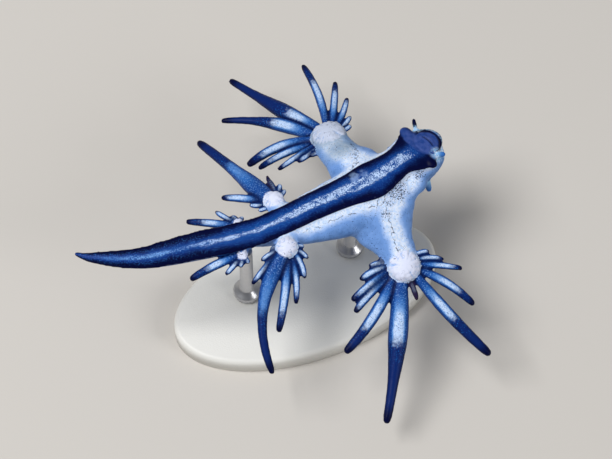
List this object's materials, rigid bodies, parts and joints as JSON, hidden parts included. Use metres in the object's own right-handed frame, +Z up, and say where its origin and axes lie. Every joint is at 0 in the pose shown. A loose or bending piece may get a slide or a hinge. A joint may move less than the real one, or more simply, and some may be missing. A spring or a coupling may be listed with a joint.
{
  "type": "blue dragon sea slug model",
  "caption": "Life-size still model of a drifting blue dragon sea slug, foot upwards, its cerata spread in fans, held by short rods on a plain oval base.",
  "frame": {"origin": "centre of the stand base's flat underside", "axes": "+Z up, +X roughly along the animal from its tail towards its head, +Y towards the animal's right side, which is the far side in the picture; the head points towards +X and +Y"},
  "size_m": [0.0362, 0.036, 0.0125],
  "materials": {
    "foot_blue": "wet dark blue skin with a speckled silver midline",
    "pale_skin": "wet white to pale blue skin with fine dark specks",
    "ceras_blue": "wet blue skin with silver streaks and navy tips",
    "base_white": "satin off-white",
    "rod_steel": "brushed"
  },
  "bodies": {
    "root": {"tail_tip": "foot_blue", "tail_base": "foot_blue", "hind_body": "pale_skin", "mid_body": "pale_skin", "fore_body": "pale_skin", "neck": "pale_skin", "head": "pale_skin", "mouth": "pale_skin", "oral_tentacle_left": "ceras_blue", "oral_tentacle_right": "ceras_blue", "rhinophore_left": "ceras_blue", "rhinophore_right": "ceras_blue", "arm_front_left": "pale_skin", "arm_front_right": "pale_skin", "cerata_front_left_fore": "ceras_blue", "cerata_front_left_outer": "ceras_blue", "cerata_front_left_hind": "ceras_blue", "cerata_front_right_fore": "ceras_blue", "cerata_front_right_outer": "ceras_blue", "cerata_front_right_hind": "ceras_blue", "cerata_mid_left_fore": "ceras_blue", "cerata_mid_left_hind": "ceras_blue", "cerata_mid_right_fore": "ceras_blue", "cerata_mid_right_hind": "ceras_blue", "cerata_rear_left": "ceras_blue", "cerata_rear_right": "ceras_blue", "stand_base": "base_white", "stand_rod_rear": "rod_steel", "stand_rod_front": "rod_steel"}
  },
  "joints": []
}
